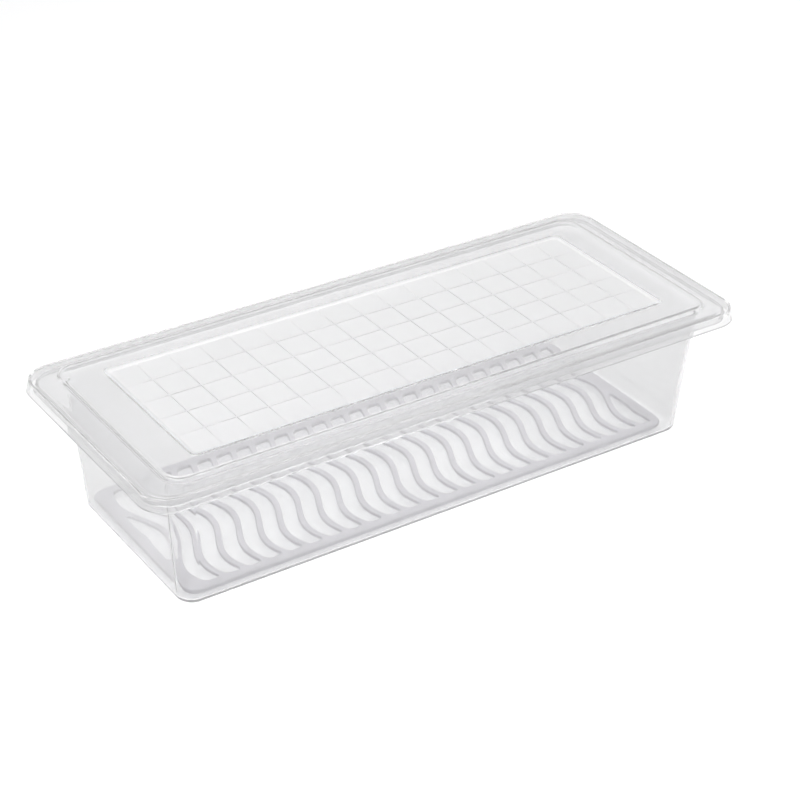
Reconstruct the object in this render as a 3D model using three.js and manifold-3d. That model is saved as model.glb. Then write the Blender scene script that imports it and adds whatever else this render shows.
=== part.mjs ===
// Fridge bin: a long clear food box, a slotted drain tray that lies in it, and a lift-off lid.
// Millimetres. +X runs along the length, +Y to the back, +Z up. The origin is under the middle of the base.

import * as THREE from 'three';
import * as BufferGeometryUtils from 'three/addons/utils/BufferGeometryUtils.js';
import Module from 'manifold-3d';

const wasm = await Module();
wasm.setup();

// Driving sizes
const LENGTH = 300;
const WIDTH = 124;
const HEIGHT = 67;
const FIT_GAP = 0.3;
const CORNER_STEPS = 9;
const ARC_STEPS = 4;

// Lid
const LID_WALL = 1.5;
const LID_CORNER = 13;
const DECK_RISE = 2;
const BORDER_TOP = HEIGHT - DECK_RISE;
const SKIRT_BOTTOM = 58.8;
const SKIRT_FLARE = 1.3;
const SKIRT_WALL = 1.4;
const LID_EDGE_ROUND = 0.8;
const DECK = { halfLength: 137.2, halfWidth: 52.8, corner: 8 };
const DECK_SLOPE = 0.5;
const PANEL = { halfLength: 120, halfWidth: 40, corner: 4.5 };
const PANEL_DEPTH = 0.8;
const PANEL_SLOPE = 2.4;
const PANEL_UNDER_SHIFT = 0.2;
const GRID_PITCH = 15;
const GRID_LINES_ALONG = 4;
const GRID_LINES_ACROSS = 15;
const GRID_LINE_WIDTH = 0.9;
const GRID_LINE_RISE = 0.35;
const JOIN_DEPTH = 0.3;

// Tub
const TUB_WALL = 1.6;
const TUB_FLOOR = 1.6;
const TUB_BOTTOM_ROUND = 3;
const TUB_INNER_ROUND = TUB_BOTTOM_ROUND - TUB_WALL;
const BASE = { halfLength: 130.7, halfWidth: 47.2, corner: 8 };
const DRAFT = 4.4;
const MOUTH = { ...grown(BASE, DRAFT), corner: 9 };
const RIM = { halfLength: 146.5, halfWidth: 58.6, corner: 11.5 };
const RIM_TOP = BORDER_TOP - LID_WALL - FIT_GAP;
const RIM_WALL = 1.4;
const RIM_LIP_BOTTOM = 59.7;
const RIM_EDGE_ROUND = 0.5;

// Drain tray
const TRAY = { halfLength: 125, halfWidth: 44.3, corner: 6.5 };
const TRAY_SHIFT = [-1.5, 1, 0];
const TRAY_TOP = 4.8;
const TRAY_PLATE = 1.6;
const TRAY_LIP_INSET = 1;
const TRAY_LIP_WALL = 0.9;
const TRAY_LIP_BOTTOM = TUB_FLOOR + FIT_GAP;
const SLOT_FIELD_HALF_LENGTH = 120;
const SLOT_FIELD_HALF_WIDTH = 40;
const SLAT_PITCH = 10;
const SLAT_WIDTH = 3;
const SLAT_OFFSET = 5;
const WAVE_HEIGHT = 4.3;
const WAVE_LENGTH = 58;
const SLOT_STEPS = 18;
const SLOT_END_ROUND = 1.8;
const SLOT_END_STEPS = 3;
const SLOT_MIN_WIDTH = 1.2;
const SLOT_MIN_LENGTH = 5;

const CLEAR_PLASTIC = { roughness: 0.12, metalness: 0, transparent: true };

// An outline is a rounded rectangle; this one lies a constant distance outside another.
function grown(outline, distance) {
  return {
    halfLength: outline.halfLength + distance,
    halfWidth: outline.halfWidth + distance,
    corner: outline.corner + distance,
  };
}

function ring(outline, inset, z) {
  return { ...grown(outline, -inset), z };
}

// Rings that turn a square edge into a quarter circle. From and to are angles in degrees, where 0 points
// outwards and 90 points up, and the circle's centre is at the given inset and height.
function roundedEdge(outline, centreInset, centreZ, radius, from, to) {
  return Array.from({ length: ARC_STEPS + 1 }, (_, step) => {
    const angle = THREE.MathUtils.degToRad(from + ((to - from) * step) / ARC_STEPS);
    return ring(outline, centreInset - radius * Math.cos(angle), centreZ + radius * Math.sin(angle));
  });
}

function ringPoints({ halfLength, halfWidth, corner, z }) {
  const centreX = halfLength - corner;
  const centreY = halfWidth - corner;
  const quarters = [[1, 1], [-1, 1], [-1, -1], [1, -1]];
  return quarters.flatMap(([signX, signY], quarter) =>
    Array.from({ length: CORNER_STEPS + 1 }, (_, step) => {
      const angle = (quarter + step / CORNER_STEPS) * (Math.PI / 2);
      return [
        signX * centreX + corner * Math.cos(angle),
        signY * centreY + corner * Math.sin(angle),
        z,
      ];
    })
  );
}

// A shell made of a stack of rings, closed by a flat face at its first and at its last ring.
function shellGeometry(rings) {
  const loops = rings.map(ringPoints);
  const count = loops[0].length;
  const positions = loops.flat(2);
  const indices = [];
  for (let level = 0; level + 1 < loops.length; level++) {
    for (let i = 0; i < count; i++) {
      const next = (i + 1) % count;
      const [a, b] = [level * count + i, level * count + next];
      indices.push(a, b, b + count, a, b + count, a + count);
    }
  }
  const last = (loops.length - 1) * count;
  for (let i = 1; i + 1 < count; i++) {
    indices.push(0, i + 1, i);
    indices.push(last, last + i, last + i + 1);
  }
  const geometry = new THREE.BufferGeometry();
  geometry.setAttribute('position', new THREE.Float32BufferAttribute(positions, 3));
  geometry.setIndex(indices);
  return geometry;
}

function toSolid(geometry) {
  const bare = geometry.clone();
  bare.deleteAttribute('normal');
  bare.deleteAttribute('uv');
  const merged = BufferGeometryUtils.mergeVertices(bare);
  return new wasm.Manifold(new wasm.Mesh({
    numProp: 3,
    vertProperties: new Float32Array(merged.attributes.position.array),
    triVerts: new Uint32Array(merged.index.array),
  }));
}

function toGeometry(solid) {
  const mesh = solid.getMesh();
  const geometry = new THREE.BufferGeometry();
  geometry.setAttribute('position', new THREE.BufferAttribute(mesh.vertProperties, mesh.numProp));
  geometry.setIndex(new THREE.BufferAttribute(mesh.triVerts, 1));
  geometry.computeVertexNormals();
  return geometry;
}

function boxSolid(size, centre) {
  return toSolid(new THREE.BoxGeometry(...size).translate(...centre));
}

// Tub: walls that lean out, a flat floor, and a rim turned out and down under the lid.
function tubGeometry() {
  const rimUnder = RIM_TOP - RIM_WALL;
  return shellGeometry([
    ...roundedEdge(BASE, TUB_BOTTOM_ROUND, TUB_BOTTOM_ROUND, TUB_BOTTOM_ROUND, -90, 0),
    ring(MOUTH, 0, rimUnder),
    ring(RIM, RIM_WALL, rimUnder),
    ring(RIM, RIM_WALL, RIM_LIP_BOTTOM),
    ring(RIM, 0, RIM_LIP_BOTTOM),
    ...roundedEdge(RIM, RIM_EDGE_ROUND, RIM_TOP - RIM_EDGE_ROUND, RIM_EDGE_ROUND, 0, 90),
    ring(MOUTH, TUB_WALL - RIM_EDGE_ROUND, RIM_TOP),
    ring(MOUTH, TUB_WALL, RIM_TOP - RIM_EDGE_ROUND),
    ...roundedEdge(BASE, TUB_WALL + TUB_INNER_ROUND, TUB_FLOOR + TUB_INNER_ROUND, TUB_INNER_ROUND, 0, -90),
  ]);
}

// Lid: a deck raised above its border, a shallow gridded panel, and a skirt outside the tub's rim.
function lidShell() {
  const lidBottom = { halfLength: LENGTH / 2, halfWidth: WIDTH / 2, corner: LID_CORNER };
  const lidTop = grown(lidBottom, -SKIRT_FLARE);
  const borderUnder = BORDER_TOP - LID_WALL;
  const deckUnder = HEIGHT - LID_WALL;
  const panelTop = HEIGHT - PANEL_DEPTH;
  return shellGeometry([
    ring(PANEL, PANEL_SLOPE - PANEL_UNDER_SHIFT, panelTop - LID_WALL),
    ring(PANEL, -PANEL_UNDER_SHIFT, deckUnder),
    ring(DECK, LID_WALL, deckUnder),
    ring(DECK, LID_WALL - DECK_SLOPE, borderUnder),
    ring(lidTop, SKIRT_WALL, borderUnder),
    ring(lidBottom, SKIRT_WALL, SKIRT_BOTTOM),
    ring(lidBottom, 0, SKIRT_BOTTOM),
    ...roundedEdge(lidTop, LID_EDGE_ROUND, BORDER_TOP - LID_EDGE_ROUND, LID_EDGE_ROUND, 0, 90),
    ring(DECK, -DECK_SLOPE, BORDER_TOP),
    ring(DECK, 0, HEIGHT - DECK_SLOPE),
    ring(DECK, DECK_SLOPE, HEIGHT),
    ring(PANEL, 0, HEIGHT),
    ring(PANEL, PANEL_SLOPE, panelTop),
  ]);
}

function gridLineCentres(count) {
  return Array.from({ length: count }, (_, i) => (i - (count - 1) / 2) * GRID_PITCH);
}

function lidGeometry() {
  const panelTop = HEIGHT - PANEL_DEPTH;
  const height = GRID_LINE_RISE + JOIN_DEPTH;
  const centreZ = panelTop + GRID_LINE_RISE - height / 2;
  let lid = toSolid(lidShell());
  for (const x of gridLineCentres(GRID_LINES_ACROSS)) {
    lid = lid.add(boxSolid([GRID_LINE_WIDTH, 2 * PANEL.halfWidth, height], [x, 0, centreZ]));
  }
  for (const y of gridLineCentres(GRID_LINES_ALONG)) {
    lid = lid.add(boxSolid([2 * PANEL.halfLength, GRID_LINE_WIDTH, height], [0, y, centreZ]));
  }
  return toGeometry(lid);
}

function wave(y) {
  return WAVE_HEIGHT * Math.cos((2 * Math.PI * y) / WAVE_LENGTH);
}

// How far a slot's sides draw in at its rounded ends.
function endInset(y) {
  const intoEnd = Math.abs(y) - (SLOT_FIELD_HALF_WIDTH - SLOT_END_ROUND);
  return intoEnd <= 0 ? 0 : SLOT_END_ROUND - Math.sqrt(Math.max(SLOT_END_ROUND ** 2 - intoEnd ** 2, 0));
}

function slotRows() {
  const straight = SLOT_FIELD_HALF_WIDTH - SLOT_END_ROUND;
  const rows = Array.from({ length: SLOT_STEPS + 1 }, (_, i) => -straight + (2 * straight * i) / SLOT_STEPS);
  const ends = Array.from({ length: SLOT_END_STEPS }, (_, i) => {
    const angle = ((i + 1) / SLOT_END_STEPS) * (Math.PI / 2);
    return straight + SLOT_END_ROUND * Math.sin(angle);
  });
  return [...ends.map((y) => -y).reverse(), ...rows, ...ends];
}

// The gaps between one slat and the next, cut short where the frame's end border covers them.
function slotOutlines(slatBefore) {
  const outlines = [];
  let rows = [];
  const finish = () => {
    if (rows.length > 2 && rows.at(-1).y - rows[0].y > SLOT_MIN_LENGTH) outlines.push(rows);
    rows = [];
  };
  for (const y of slotRows()) {
    const left = Math.max(slatBefore + SLAT_WIDTH / 2 + wave(y) + endInset(y), -SLOT_FIELD_HALF_LENGTH);
    const right = Math.min(
      slatBefore + SLAT_PITCH - SLAT_WIDTH / 2 + wave(y) - endInset(y),
      SLOT_FIELD_HALF_LENGTH
    );
    if (right - left > SLOT_MIN_WIDTH) rows.push({ y, left, right });
    else finish();
  }
  finish();
  return outlines;
}

function outlineShape({ halfLength, halfWidth, corner }) {
  const shape = new THREE.Shape();
  const points = ringPoints({ halfLength, halfWidth, corner, z: 0 });
  shape.setFromPoints(points.map(([x, y]) => new THREE.Vector2(x, y)));
  return shape;
}

function trayPlate() {
  const shape = outlineShape(TRAY);
  const firstSlat = SLAT_OFFSET - SLAT_PITCH * Math.ceil((SLOT_FIELD_HALF_LENGTH + SLAT_OFFSET) / SLAT_PITCH);
  for (let slat = firstSlat; slat < SLOT_FIELD_HALF_LENGTH + SLAT_PITCH; slat += SLAT_PITCH) {
    for (const rows of slotOutlines(slat)) {
      const rightSide = rows.map(({ right, y }) => new THREE.Vector2(right, y));
      const leftSide = rows.map(({ left, y }) => new THREE.Vector2(left, y)).reverse();
      shape.holes.push(new THREE.Path([...rightSide, ...leftSide]));
    }
  }
  const plate = new THREE.ExtrudeGeometry(shape, { depth: TRAY_PLATE, bevelEnabled: false });
  return toSolid(plate.translate(0, 0, TRAY_TOP - TRAY_PLATE));
}

function trayLip() {
  const outer = grown(TRAY, -TRAY_LIP_INSET);
  const shape = outlineShape(outer);
  shape.holes.push(outlineShape(grown(outer, -TRAY_LIP_WALL)));
  const height = TRAY_TOP - TRAY_PLATE - TRAY_LIP_BOTTOM + JOIN_DEPTH;
  const lip = new THREE.ExtrudeGeometry(shape, { depth: height, bevelEnabled: false });
  return toSolid(lip.translate(0, 0, TRAY_LIP_BOTTOM));
}

// The tray is smaller than the tub's floor and lies a little to the left and back of its middle.
function trayGeometry() {
  return toGeometry(trayPlate().add(trayLip())).translate(...TRAY_SHIFT);
}

function part(name, geometry, colour, opacity) {
  const material = new THREE.MeshStandardMaterial({ ...CLEAR_PLASTIC, color: colour, opacity });
  const mesh = new THREE.Mesh(geometry, material);
  mesh.name = name;
  return mesh;
}

const fridgeBin = new THREE.Group();
fridgeBin.add(part('tub', tubGeometry(), 0xf0f1f3, 0.3));
fridgeBin.add(part('drain_tray', trayGeometry(), 0xe4e4ee, 0.6));
fridgeBin.add(part('lid', lidGeometry(), 0xf2f3f4, 0.35));

export default fridgeBin;
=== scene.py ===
"""Looks of the fridge bin: a clear tub, a wavy-slotted drain tray and a gridded lid, one moulding each."""

import math

import bmesh
import bpy
from mathutils import Matrix, Vector


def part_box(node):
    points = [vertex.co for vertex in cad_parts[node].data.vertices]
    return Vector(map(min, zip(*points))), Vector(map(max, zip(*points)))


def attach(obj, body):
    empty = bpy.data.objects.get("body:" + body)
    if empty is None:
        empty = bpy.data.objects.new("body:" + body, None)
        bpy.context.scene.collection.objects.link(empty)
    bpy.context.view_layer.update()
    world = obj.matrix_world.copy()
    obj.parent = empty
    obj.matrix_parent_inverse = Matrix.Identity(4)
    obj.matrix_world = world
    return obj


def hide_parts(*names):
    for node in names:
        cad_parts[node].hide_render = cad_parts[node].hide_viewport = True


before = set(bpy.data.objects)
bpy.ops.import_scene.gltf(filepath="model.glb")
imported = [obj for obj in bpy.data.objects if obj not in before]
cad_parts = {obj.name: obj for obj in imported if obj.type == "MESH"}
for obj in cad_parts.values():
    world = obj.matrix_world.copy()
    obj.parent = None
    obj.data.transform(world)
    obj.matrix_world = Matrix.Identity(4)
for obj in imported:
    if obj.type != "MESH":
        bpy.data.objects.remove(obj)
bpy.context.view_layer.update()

MM = 0.001

# Outlines are rounded rectangles: half length, half width, corner radius, in millimetres.
BASE = (130.7, 47.2, 8.0)
MOUTH = (135.1, 51.6, 9.0)
RIM = (146.5, 58.6, 11.5)
DECK = (137.2, 52.8, 8.0)
PANEL = (120.0, 40.0, 4.5)
TRAY = (125.0, 44.3, 6.5)
TRAY_SHIFT = (-1.5, 1.0, 0.0)
CORNER_STEPS = 20
ARC_STEPS = 5
NORMAL_WEIGHT = 100

TUB_WALL = 1.6
RIM_WALL = 1.4
RIM_LIP_BOTTOM = 59.7
FOOT_BEND = 3.0
FOOT_INNER_BEND = 1.4
FLOOR_EDGE = 7.0

LID_WALL = 1.5
LID_CORNER = 13.0
SKIRT_WALL = 1.4
SKIRT_FLARE = 1.3
DECK_RISE = 2.0
DECK_SLOPE = 0.5
DECK_UNDER_INSET = 1.17
PANEL_DEPTH = 0.8
PANEL_SLOPE = 2.4
PANEL_UNDER_SHIFT = 0.2
PANEL_EDGE = 4.3
PANEL_FACE_SLACK = 0.1

# Inner and outer radius of each bend in a wall, so that the wall keeps its thickness round it.
MOUTH_BEND = (1.7, 3.2)
RIM_BEND = (0.5, 1.9)
PANEL_BEND = (1.0, 2.5)
DECK_TOP_BEND = (0.5, 2.0)
DECK_FOOT_BEND = (0.4, 1.9)
SKIRT_BEND = (0.3, 1.3)
LIP_EDGE_ROUND = 0.35

GRID_PITCH = 15.0
GRID_ACROSS = 15
GRID_ALONG = 4
GRID_END_GAP = 0.2
RIB_DEPTH = 0.5
RIB_SUNK = -0.2
# Half of a rib's cross-section: distance from its middle, and height above the panel.
RIB_PROFILE = ((0.0, 0.35), (0.12, 0.34), (0.26, 0.26), (0.38, 0.12), (0.48, RIB_SUNK))

TRAY_PLATE = 1.6
TRAY_TOP_ROUND = 0.55
TRAY_UNDER_ROUND = 0.3
TRAY_TOP_STEPS = 4
TRAY_UNDER_STEPS = 2
TRAY_LIP_INSET = 1.0
TRAY_LIP_WALL = 0.9
TRAY_LIP_ROUND = 0.3

SLAT_PITCH = 10.0
SLAT_WIDTH = 3.0
SLAT_OFFSET = 5.0
WAVE_HEIGHT = 4.3
WAVE_LENGTH = 58.0
FIELD_HALF_LENGTH = 120.0
FIELD_HALF_WIDTH = 40.0
SLOT_END_ROUND = 1.8
SLOT_MIN_WIDTH = 1.2
SLOT_MIN_LENGTH = 5.0
SLOT_STEPS = 44
SLOT_END_STEPS = 6
MIN_STRETCH = 0.6

PLASTIC_IOR = 1.45
NOISE_SPAN = (0.3, 0.7)
CLOUD_SCALE = 25.0
CLOUD_DETAIL = 2
CLOUD_TINT = 0.012
POLISH_SCALE = 220.0
POLISH_DETAIL = 4
POLISH_SPREAD = 0.15
RIPPLE_SCALE = 90.0
RIPPLE_DETAIL = 1

# Colour, transmission, roughness, colour of the shadow and height of the ripple in metres.
PLASTICS = {
    "tub_plastic": ((0.83, 0.83, 0.834), 0.87, 0.04, (0.97, 0.97, 0.97), 0.000006),
    "lid_plastic": ((0.85, 0.85, 0.853), 0.87, 0.03, (0.93, 0.93, 0.93), 0.000006),
    "panel_plastic": ((0.89, 0.89, 0.892), 0.78, 0.37, (0.93, 0.93, 0.93), 0.000004),
    "tray_plastic": ((0.57, 0.56, 0.59), 0.44, 0.34, (0.94, 0.94, 0.95), 0.00001),
}

# The photo's camera: turn, rise and roll in degrees, millimetres from a point on the middle axis, and
# focal length and image centre in pixels of a square frame.
CAMERA_ANGLES = (-34.37, 30.98, 0.98)
CAMERA_DISTANCE = 955.8
CAMERA_ACROSS = 12.68
CAMERA_UP = -2.69
CAMERA_TARGET_HEIGHT = 36.3
CAMERA_FOCUS = 2155.6
CAMERA_CENTRE = (419.4, 401.2)
FRAME_PIXELS = 800

FLOOR_SIZE = 16
FLOOR_DROP = 0.0005
FLOOR_COLOUR = (0.95, 0.95, 0.95, 1)
FLOOR_ROUGHNESS = 0.9
# The surroundings by height, with their brightness in red and green and in blue. They are white at the
# horizon, so that the floor has no visible end.
SKY = ((0.0, 1.0, 1.0), (0.15, 0.92, 0.92), (0.4, 0.34, 0.34), (0.9, 0.32, 0.325))
LAMP_TARGET = Vector((0, 0, 0.03))
# Place, size and power of each lamp, in metres and watts.
LAMPS = {
    "softbox_top": ((0.0, -0.05, 1.2), (1.4, 1.0), 13.2),
    "softbox_back": ((0.5, 0.8, 1.3), (0.8, 0.5), 4.0),
    "softbox_front": ((0.4, -1.2, 0.4), (1.6, 0.6), 3.4),
}


def low_high(node):
    """A CAD node's lowest and highest corner in millimetres."""
    low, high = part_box(node)
    return low / MM, high / MM


LID_LOW, LID_HIGH = low_high("lid")
TUB_HIGH = low_high("tub")[1]
TRAY_LOW, TRAY_HIGH = low_high("drain_tray")


def inset(outline, distance):
    """An outline drawn in by a distance on all sides, its corner radius included."""
    return tuple(value - distance for value in outline)


def at(outline, distance, z):
    """A ring: an outline drawn in by a distance, at a height."""
    return (*inset(outline, distance), z)


def filleted(profile):
    """Rings along a profile of (ring, radius), with each inner corner turned into an arc of its radius."""
    rings = [profile[0][0]]
    for before, (corner, radius), after in zip(profile, profile[1:], profile[2:]):
        rings += arc_rings(before[0], corner, after[0], radius)
    return [*rings, profile[-1][0]]


def arc_rings(before, corner, after, radius):
    """The rings of one inner corner of a profile, laid as an arc between its two neighbours.

    The arc is drawn in the upright section through a ring's half width and its height.
    """
    if not radius:
        return [corner]
    place = Vector(corner[1:4:2])
    to_before, to_after = Vector(before[1:4:2]) - place, Vector(after[1:4:2]) - place
    far_before, far_after = to_before.length, to_after.length
    to_before.normalize()
    to_after.normalize()
    half = to_before.angle(to_after) / 2
    centre = (to_before + to_after).normalized() * (radius / math.sin(half))
    start = to_before * (radius / math.tan(half)) - centre
    end = to_after * (radius / math.tan(half)) - centre
    turn = start.angle(end)
    across = to_before.x * to_after.y - to_before.y * to_after.x
    rings = []
    for step in range(ARC_STEPS + 1):
        part = step / ARC_STEPS
        spot = centre + (start * math.sin((1 - part) * turn) + end * math.sin(part * turn)) / math.sin(turn)
        along_before = (spot.x * to_after.y - spot.y * to_after.x) / across
        along_after = (to_before.x * spot.y - to_before.y * spot.x) / across
        rings.append(
            tuple(
                c + (b - c) * along_before / far_before + (a - c) * along_after / far_after
                for b, c, a in zip(before, corner, after)
            )
        )
    return rings


def ring_points(ring):
    """A ring's rounded rectangle as points in metres, anticlockwise from above."""
    half_length, half_width, corner, z = ring
    points = []
    for quarter, (sign_x, sign_y) in enumerate(((1, 1), (-1, 1), (-1, -1), (1, -1))):
        for step in range(CORNER_STEPS + 1):
            angle = (quarter + step / CORNER_STEPS) * math.pi / 2
            points.append(
                Vector(
                    (
                        sign_x * (half_length - corner) + corner * math.cos(angle),
                        sign_y * (half_width - corner) + corner * math.sin(angle),
                        z,
                    )
                )
                * MM
            )
    return points


def band(bm, loop, next_loop):
    """Faces between two closed loops with the same number of points."""
    for i in range(len(loop)):
        after = (i + 1) % len(loop)
        bm.faces.new((loop[i], loop[after], next_loop[after], next_loop[i]))


def swept_shell(name, rings):
    """A closed body through a stack of rings, with a flat face over its first and its last one."""
    bm = bmesh.new()
    loops = [[bm.verts.new(point) for point in ring_points(ring)] for ring in rings]
    for lower, upper in zip(loops, loops[1:]):
        band(bm, lower, upper)
    bm.faces.new(reversed(loops[0]))
    bm.faces.new(loops[-1])
    return finished(name, bm)


def finished(name, bm):
    """A smooth-shaded object made from a mesh under construction."""
    bmesh.ops.recalc_face_normals(bm, faces=bm.faces)
    mesh = bpy.data.meshes.new(name)
    bm.to_mesh(mesh)
    bm.free()
    mesh.shade_smooth()
    piece = bpy.data.objects.new(name, mesh)
    bpy.context.scene.collection.objects.link(piece)
    return piece


def even_normals(piece):
    """Keeps the flat faces flat beside their rounded edges."""
    weighted = piece.modifiers.new("even_normals", "WEIGHTED_NORMAL")
    weighted.mode = "FACE_AREA"
    weighted.weight = NORMAL_WEIGHT


def make_tub():
    """The tub, from under its floor up the outside, round the rim and down the inside."""
    top = TUB_HIGH.z
    rim_under = top - RIM_WALL
    lean = (MOUTH[0] - BASE[0]) / (rim_under - FOOT_BEND)
    foot = inset(BASE, FOOT_BEND * lean)
    inner_foot = inset(BASE, FOOT_INNER_BEND * lean)
    profile = [
        (at(foot, FLOOR_EDGE, 0), 0),
        (at(foot, 0, 0), FOOT_BEND),
        (at(MOUTH, 0, rim_under), MOUTH_BEND[0]),
        (at(RIM, RIM_WALL, rim_under), RIM_BEND[0]),
        (at(RIM, RIM_WALL, RIM_LIP_BOTTOM), LIP_EDGE_ROUND),
        (at(RIM, 0, RIM_LIP_BOTTOM), LIP_EDGE_ROUND),
        (at(RIM, 0, top), RIM_BEND[1]),
        (at(MOUTH, TUB_WALL, top), MOUTH_BEND[1]),
        (at(inner_foot, TUB_WALL, TUB_WALL), FOOT_INNER_BEND),
        (at(foot, FLOOR_EDGE, TUB_WALL), 0),
    ]
    return swept_shell("tub_body", filleted(profile))


def make_lid_shell():
    """The lid without its ribs, from under the panel out to the skirt and back over the top."""
    top = LID_HIGH.z
    border = top - DECK_RISE
    border_under = border - LID_WALL
    deck_under = top - LID_WALL
    panel = top - PANEL_DEPTH
    bottom = LID_LOW.z
    outer = (LID_HIGH.x, LID_HIGH.y, LID_CORNER)
    outer_top = inset(outer, SKIRT_FLARE)
    profile = [
        (at(PANEL, PANEL_EDGE, panel - LID_WALL), 0),
        (at(PANEL, PANEL_SLOPE - PANEL_UNDER_SHIFT, panel - LID_WALL), PANEL_BEND[1]),
        (at(PANEL, -PANEL_UNDER_SHIFT, deck_under), PANEL_BEND[0]),
        (at(DECK, DECK_UNDER_INSET, deck_under), DECK_TOP_BEND[0]),
        (at(DECK, DECK_UNDER_INSET - DECK_SLOPE, border_under), DECK_FOOT_BEND[1]),
        (at(outer_top, SKIRT_WALL, border_under), SKIRT_BEND[0]),
        (at(outer, SKIRT_WALL, bottom), LIP_EDGE_ROUND),
        (at(outer, 0, bottom), LIP_EDGE_ROUND),
        (at(outer_top, 0, border), SKIRT_BEND[1]),
        (at(DECK, -DECK_SLOPE, border), DECK_FOOT_BEND[0]),
        (at(DECK, 0, top), DECK_TOP_BEND[1]),
        (at(PANEL, 0, top), PANEL_BEND[1]),
        (at(PANEL, PANEL_SLOPE, panel), PANEL_BEND[0]),
        (at(PANEL, PANEL_EDGE, panel), 0),
    ]
    return swept_shell("lid_moulding", filleted(profile))


def rib_lines(count, half):
    """Places across the ribs of one direction, from end to end of the panel, with each height."""
    places = [(-half, RIB_SUNK), (half, RIB_SUNK)]
    for i in range(count):
        centre = (i - (count - 1) / 2) * GRID_PITCH
        places += [(centre + side * away, height) for away, height in RIB_PROFILE for side in (-1, 1)]
    return sorted(set(places))


def make_grid_ribs():
    """The lid's fine ribs as one height field, sunk a little into the panel between them."""
    panel = LID_HIGH.z - PANEL_DEPTH
    across = rib_lines(GRID_ACROSS, PANEL[0] - GRID_END_GAP)
    along = rib_lines(GRID_ALONG, PANEL[1] - GRID_END_GAP)
    bm = bmesh.new()

    def sheet(height):
        return [[bm.verts.new(Vector((x, y, height(u, v))) * MM) for x, u in across] for y, v in along]

    upper = sheet(lambda u, v: panel + max(u, v))
    lower = sheet(lambda u, v: panel - RIB_DEPTH)
    for j in range(len(along) - 1):
        for i in range(len(across) - 1):
            for rows in (upper, lower):
                bm.faces.new((rows[j][i], rows[j][i + 1], rows[j + 1][i + 1], rows[j + 1][i]))
    last_i, last_j = len(across) - 1, len(along) - 1
    edge = [(0, i) for i in range(last_i)] + [(j, last_i) for j in range(last_j)]
    edge += [(last_j, i) for i in range(last_i, 0, -1)] + [(j, 0) for j in range(last_j, 0, -1)]
    for (j, i), (k, m) in zip(edge, [*edge[1:], edge[0]]):
        bm.faces.new((upper[j][i], upper[k][m], lower[k][m], lower[j][i]))
    return finished("grid_ribs", bm)


def joined(piece, other):
    """Unites another body with a piece and drops the other body."""
    union = piece.modifiers.new("union", "BOOLEAN")
    union.operation = "UNION"
    union.solver = "EXACT"
    union.object = other
    bpy.context.view_layer.update()
    graph = bpy.context.evaluated_depsgraph_get()
    mesh = bpy.data.meshes.new_from_object(piece.evaluated_get(graph))
    piece.modifiers.clear()
    piece.data = mesh
    bpy.data.objects.remove(other)
    mesh.shade_smooth()
    return piece


def wave(y):
    """How far a slat bends to the side at a distance from the middle of the tray."""
    return WAVE_HEIGHT * math.cos(2 * math.pi * y / WAVE_LENGTH)


def end_inset(y):
    """How much a slot narrows on each side towards its rounded end."""
    into_end = abs(y) - (FIELD_HALF_WIDTH - SLOT_END_ROUND)
    if into_end <= 0:
        return 0.0
    return SLOT_END_ROUND - math.sqrt(max(SLOT_END_ROUND**2 - into_end**2, 0))


def slot_rows():
    """Places along a slot where its width is taken, closer together at its rounded ends."""
    straight = FIELD_HALF_WIDTH - SLOT_END_ROUND
    rows = [-straight + 2 * straight * i / SLOT_STEPS for i in range(SLOT_STEPS + 1)]
    ends = [
        straight + SLOT_END_ROUND * math.sin((i + 1) / SLOT_END_STEPS * math.pi / 2)
        for i in range(SLOT_END_STEPS)
    ]
    return [-y for y in reversed(ends)] + rows + ends


def slot_outlines(slat_before):
    """Closed outlines of the gap between one slat and the next, cut short where the end border covers it."""
    outlines, rows = [], []
    for y in [*slot_rows(), None]:
        if y is not None:
            left = max(slat_before + SLAT_WIDTH / 2 + wave(y) + end_inset(y), -FIELD_HALF_LENGTH)
            right = min(slat_before + SLAT_PITCH - SLAT_WIDTH / 2 + wave(y) - end_inset(y), FIELD_HALF_LENGTH)
            if right - left > SLOT_MIN_WIDTH:
                rows.append((y, left, right))
                continue
        if len(rows) > 2 and rows[-1][0] - rows[0][0] > SLOT_MIN_LENGTH:
            outlines.append([(x, y) for y, _, x in rows] + [(x, y) for y, x, _ in reversed(rows)])
        rows = []
    return outlines


def pushed(points, distance):
    """An outline moved to its right by a distance, point by point."""
    moved = []
    for before, point, after in zip([points[-1], *points[:-1]], points, [*points[1:], points[0]]):
        first = Vector((point[0] - before[0], point[1] - before[1])).normalized()
        second = Vector((after[0] - point[0], after[1] - point[1])).normalized()
        way = (first + second).normalized()
        stretch = max(math.sqrt((1 + first.dot(second)) / 2), MIN_STRETCH)
        moved.append((point[0] + way.y * distance / stretch, point[1] - way.x * distance / stretch))
    return moved


def turns(steps):
    """Angles that divide a quarter turn evenly."""
    return [i / steps * math.pi / 2 for i in range(steps + 1)]


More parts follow.
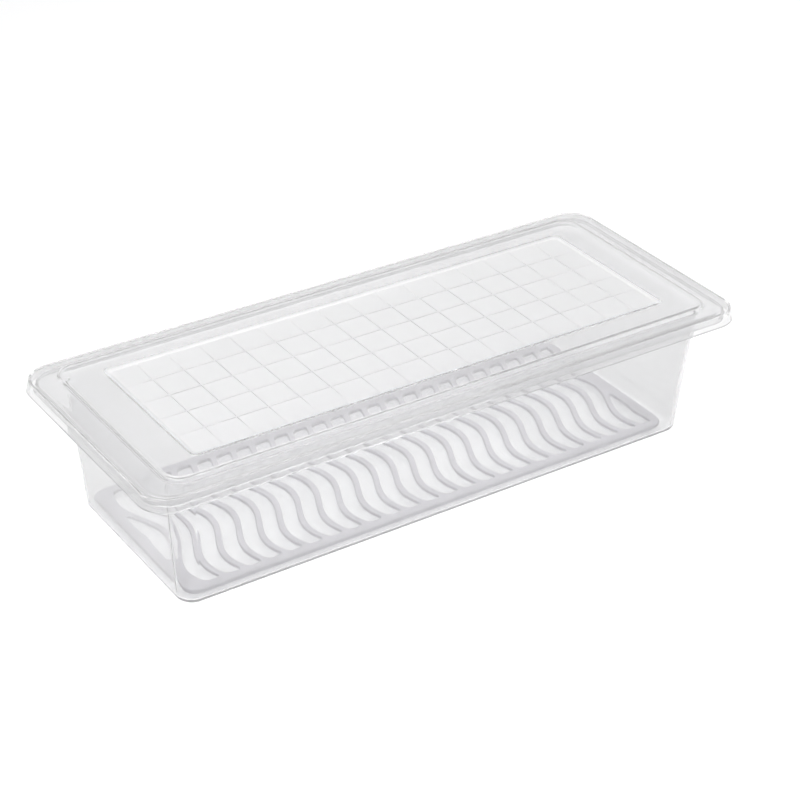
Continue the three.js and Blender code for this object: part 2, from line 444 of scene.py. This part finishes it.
def make_tray_plate():
    """The tray's frame and slats: flat faces above and below, and a rounded edge round every opening."""
    top = TRAY_HIGH.z
    outer = [(p.x / MM, p.y / MM) for p in ring_points((*TRAY, 0))]
    loops = [list(reversed(outer))]
    slat = SLAT_OFFSET - SLAT_PITCH * math.ceil((FIELD_HALF_LENGTH + SLAT_OFFSET) / SLAT_PITCH)
    while slat < FIELD_HALF_LENGTH + SLAT_PITCH:
        loops += slot_outlines(slat)
        slat += SLAT_PITCH
    soft, under, bottom = TRAY_TOP_ROUND, TRAY_UNDER_ROUND, top - TRAY_PLATE
    steps = [(soft * (1 - math.sin(a)), top - soft * (1 - math.cos(a))) for a in turns(TRAY_TOP_STEPS)]
    steps += [
        (under * (1 - math.cos(a)), bottom + under * (1 - math.sin(a))) for a in turns(TRAY_UNDER_STEPS)
    ]
    bm = bmesh.new()
    top_edges, low_edges = [], []
    for loop in loops:
        rings = [[bm.verts.new(Vector((x, y, z)) * MM) for x, y in pushed(loop, away)] for away, z in steps]
        count = len(loop)
        for upper, lower in zip(rings, rings[1:]):
            band(bm, upper, lower)
        for ring, edges in ((rings[0], top_edges), (rings[-1], low_edges)):
            edges += [bm.edges.get((ring[i], ring[(i + 1) % count])) for i in range(count)]
    bmesh.ops.triangle_fill(bm, use_beauty=True, edges=top_edges)
    bmesh.ops.triangle_fill(bm, use_beauty=True, edges=low_edges)
    return finished("tray_moulding", bm)


def make_tray_lip():
    """The low wall under the tray's rim that holds it off the floor of the tub."""
    outer = inset(TRAY, TRAY_LIP_INSET)
    inner = inset(outer, TRAY_LIP_WALL)
    low, high = TRAY_LOW.z, TRAY_HIGH.z - TRAY_PLATE + TRAY_UNDER_ROUND
    rings = filleted(
        [
            (at(inner, 0, high), 0),
            (at(inner, 0, low), TRAY_LIP_ROUND),
            (at(outer, 0, low), TRAY_LIP_ROUND),
            (at(outer, 0, high), 0),
        ]
    )
    bm = bmesh.new()
    loops = [[bm.verts.new(point) for point in ring_points(ring)] for ring in rings]
    for lower, upper in zip(loops, [*loops[1:], loops[0]]):
        band(bm, lower, upper)
    return finished("tray_lip", bm)


def noise(nodes, links, place, scale, detail):
    """A soft noise that stays with the piece, from 0 to 1."""
    texture = nodes.new("ShaderNodeTexNoise")
    texture.inputs["Scale"].default_value = scale
    texture.inputs["Detail"].default_value = detail
    links.new(place.outputs["Object"], texture.inputs["Vector"])
    return texture.outputs["Fac"]


def varied(nodes, links, fac, low, high):
    """A shader number that follows a noise between two values."""
    spread = nodes.new("ShaderNodeMapRange")
    spread.inputs["From Min"].default_value, spread.inputs["From Max"].default_value = NOISE_SPAN
    spread.inputs["To Min"].default_value, spread.inputs["To Max"].default_value = low, high
    links.new(fac, spread.inputs["Value"])
    return spread.outputs["Result"]


def clear_plastic(name, colour, transmission, roughness, shadow, ripple):
    """Clear moulded plastic, faintly uneven in colour, polish and flatness. Lamps shine through it."""
    material = bpy.data.materials.new(name)
    material.use_nodes = True
    nodes, links = material.node_tree.nodes, material.node_tree.links
    shader = nodes["Principled BSDF"]
    shader.inputs["Transmission Weight"].default_value = transmission
    shader.inputs["IOR"].default_value = PLASTIC_IOR
    place = nodes.new("ShaderNodeTexCoord")
    cloud = noise(nodes, links, place, CLOUD_SCALE, CLOUD_DETAIL)
    tint = nodes.new("ShaderNodeMix")
    tint.data_type = "RGBA"
    tint.inputs["A"].default_value = (*(v * (1 - CLOUD_TINT) for v in colour), 1)
    tint.inputs["B"].default_value = (*(min(v * (1 + CLOUD_TINT), 1) for v in colour), 1)
    links.new(cloud, tint.inputs["Factor"])
    links.new(tint.outputs["Result"], shader.inputs["Base Color"])
    polish = noise(nodes, links, place, POLISH_SCALE, POLISH_DETAIL)
    rough, smooth = roughness * (1 + POLISH_SPREAD), roughness * (1 - POLISH_SPREAD)
    links.new(varied(nodes, links, polish, smooth, rough), shader.inputs["Roughness"])
    relief = nodes.new("ShaderNodeBump")
    relief.inputs["Distance"].default_value = ripple
    ripples = noise(nodes, links, place, RIPPLE_SCALE, RIPPLE_DETAIL)
    links.new(ripples, relief.inputs["Height"])
    links.new(relief.outputs["Normal"], shader.inputs["Normal"])
    path = nodes.new("ShaderNodeLightPath")
    through = nodes.new("ShaderNodeBsdfTransparent")
    through.inputs["Color"].default_value = (*shadow, 1)
    mix = nodes.new("ShaderNodeMixShader")
    links.new(path.outputs["Is Shadow Ray"], mix.inputs[0])
    links.new(shader.outputs[0], mix.inputs[1])
    links.new(through.outputs[0], mix.inputs[2])
    links.new(mix.outputs[0], nodes["Material Output"].inputs["Surface"])
    return material


def camera():
    """The scene's camera, where the photo was taken from."""
    azimuth, elevation, roll = (math.radians(v) for v in CAMERA_ANGLES)
    flat = math.cos(elevation)
    back = Vector((math.sin(azimuth) * flat, -math.cos(azimuth) * flat, math.sin(elevation)))
    level = Vector((math.cos(azimuth), math.sin(azimuth), 0))
    rise = back.cross(level)
    right = level * math.cos(roll) + rise * math.sin(roll)
    upward = rise * math.cos(roll) - level * math.sin(roll)
    place = Vector((0, 0, CAMERA_TARGET_HEIGHT)) + back * CAMERA_DISTANCE
    place += right * CAMERA_ACROSS + upward * CAMERA_UP
    data = bpy.data.cameras.new("camera")
    middle = FRAME_PIXELS / 2
    data.lens = CAMERA_FOCUS / FRAME_PIXELS * data.sensor_width
    data.shift_x = -(CAMERA_CENTRE[0] - middle) / FRAME_PIXELS
    data.shift_y = (CAMERA_CENTRE[1] - middle) / FRAME_PIXELS
    holder = bpy.data.objects.new("camera", data)
    turn = Matrix((right, upward, back)).transposed().to_4x4()
    holder.matrix_world = Matrix.Translation(place * MM) @ turn
    bpy.context.scene.collection.objects.link(holder)
    bpy.context.scene.camera = holder


def make_floor():
    """A plain pale floor just under the box."""
    bpy.ops.mesh.primitive_plane_add(size=FLOOR_SIZE)
    floor = bpy.context.object
    floor.name = "studio_floor"
    floor.location.z = -FLOOR_DROP
    paint = bpy.data.materials.new("floor_paint")
    paint.use_nodes = True
    coat = paint.node_tree.nodes["Principled BSDF"].inputs
    coat["Base Color"].default_value = FLOOR_COLOUR
    coat["Roughness"].default_value = FLOOR_ROUGHNESS
    coat["Specular IOR Level"].default_value = 0.0
    floor.data.materials.append(paint)


def light_surroundings():
    """The brightness of everything around the scene, by height."""
    world = bpy.data.worlds.new("studio")
    world.use_nodes = True
    nodes, links = world.node_tree.nodes, world.node_tree.links
    place = nodes.new("ShaderNodeTexCoord")
    split = nodes.new("ShaderNodeSeparateXYZ")
    ramp = nodes.new("ShaderNodeValToRGB")
    links.new(place.outputs["Generated"], split.inputs[0])
    links.new(split.outputs["Z"], ramp.inputs[0])
    links.new(ramp.outputs[0], nodes["Background"].inputs["Color"])
    stops = ramp.color_ramp.elements
    while len(stops) < len(SKY):
        stops.new(1.0)
    for stop, (height, level, blue) in zip(stops, SKY):
        stop.position = height
        stop.color = (level, level, blue, 1)
    bpy.context.scene.world = world


def area(name, place, size, power):
    """A rectangular lamp aimed at the box."""
    data = bpy.data.lights.new(name, "AREA")
    data.shape = "RECTANGLE"
    data.size, data.size_y = size
    data.energy = power
    light = bpy.data.objects.new(name, data)
    light.location = place
    light.rotation_euler = (LAMP_TARGET - Vector(place)).to_track_quat("-Z", "Y").to_euler()
    bpy.context.scene.collection.objects.link(light)


camera()

tub = make_tub()
lid = joined(make_lid_shell(), make_grid_ribs())
tray = joined(make_tray_plate(), make_tray_lip())
tray.data.transform(Matrix.Translation(Vector(TRAY_SHIFT) * MM))
for piece, node, slot in (
    (tub, "tub", "tub_clear_plastic"),
    (tray, "drain_tray", "tray_frosted_plastic"),
    (lid, "lid", "lid_clear_plastic"),
):
    even_normals(piece)
    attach(piece, node)
    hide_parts(node)

tub.data.materials.append(clear_plastic("tub_plastic", *PLASTICS["tub_plastic"]))
lid.data.materials.append(clear_plastic("lid_plastic", *PLASTICS["lid_plastic"]))
lid.data.materials.append(clear_plastic("panel_plastic", *PLASTICS["panel_plastic"]))
tray.data.materials.append(clear_plastic("tray_plastic", *PLASTICS["tray_plastic"]))
frosted = inset(PANEL, GRID_END_GAP)
for face in lid.data.polygons:
    x, y, z = face.center / MM
    above = z > LID_HIGH.z - PANEL_DEPTH - PANEL_FACE_SLACK
    if above and abs(x) < frosted[0] and abs(y) < frosted[1]:
        face.material_index = 1

make_floor()
light_surroundings()
for lamp, (spot, size, power) in LAMPS.items():
    area(lamp, spot, size, power)
bpy.context.scene.view_settings.view_transform = "Standard"
